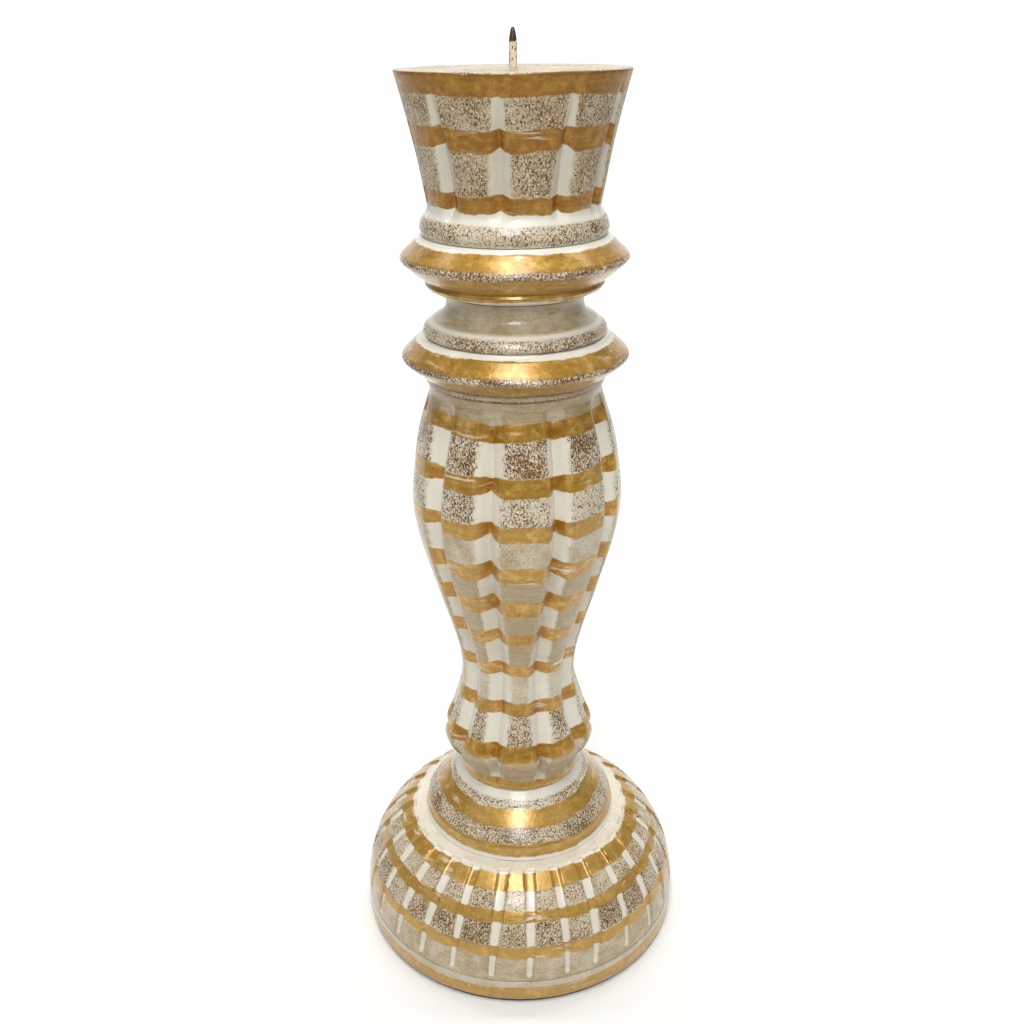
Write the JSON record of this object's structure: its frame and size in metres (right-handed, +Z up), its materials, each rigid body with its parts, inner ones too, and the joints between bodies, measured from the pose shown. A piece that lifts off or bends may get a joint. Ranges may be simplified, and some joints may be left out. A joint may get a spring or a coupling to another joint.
{
  "type": "pricket candlestick",
  "caption": "Turned and fluted wooden candlestick with a domed grooved foot, sharp-edged knops, a tapered cup with a flat candle seat, and a nail pricket.",
  "frame": {"origin": "centre of the felt's underside, on the surface that the candlestick stands on", "axes": "+Z up along the turning axis; the side with the groove pattern as first seen faces -Y, with +X to its right"},
  "size_m": [0.1524, 0.1524, 0.406],
  "materials": {
    "painted_wood": "cream paint rubbed through to brown on the ridges, with hand-brushed gold bands",
    "bare_wood": "bare sanded wood",
    "nail_steel": "dark steel nail with chipped cream paint on its shank",
    "screw_steel": "plain zinc-plated screws",
    "felt": "black adhesive felt"
  },
  "bodies": {
    "root": {"felt_pad": "felt", "foot_plinth": "painted_wood", "base_dome": "painted_wood", "base_collar": "painted_wood", "stem": "painted_wood", "lower_knop": "painted_wood", "neck_spool": "painted_wood", "upper_knop": "painted_wood", "candle_cup": "painted_wood", "pricket": "nail_steel", "neck_dowel": "bare_wood", "lag_screw": "screw_steel", "lag_washer": "screw_steel", "plinth_screw_1": "screw_steel", "plinth_screw_2": "screw_steel", "plinth_screw_3": "screw_steel", "plinth_screw_4": "screw_steel"}
  },
  "joints": []
}
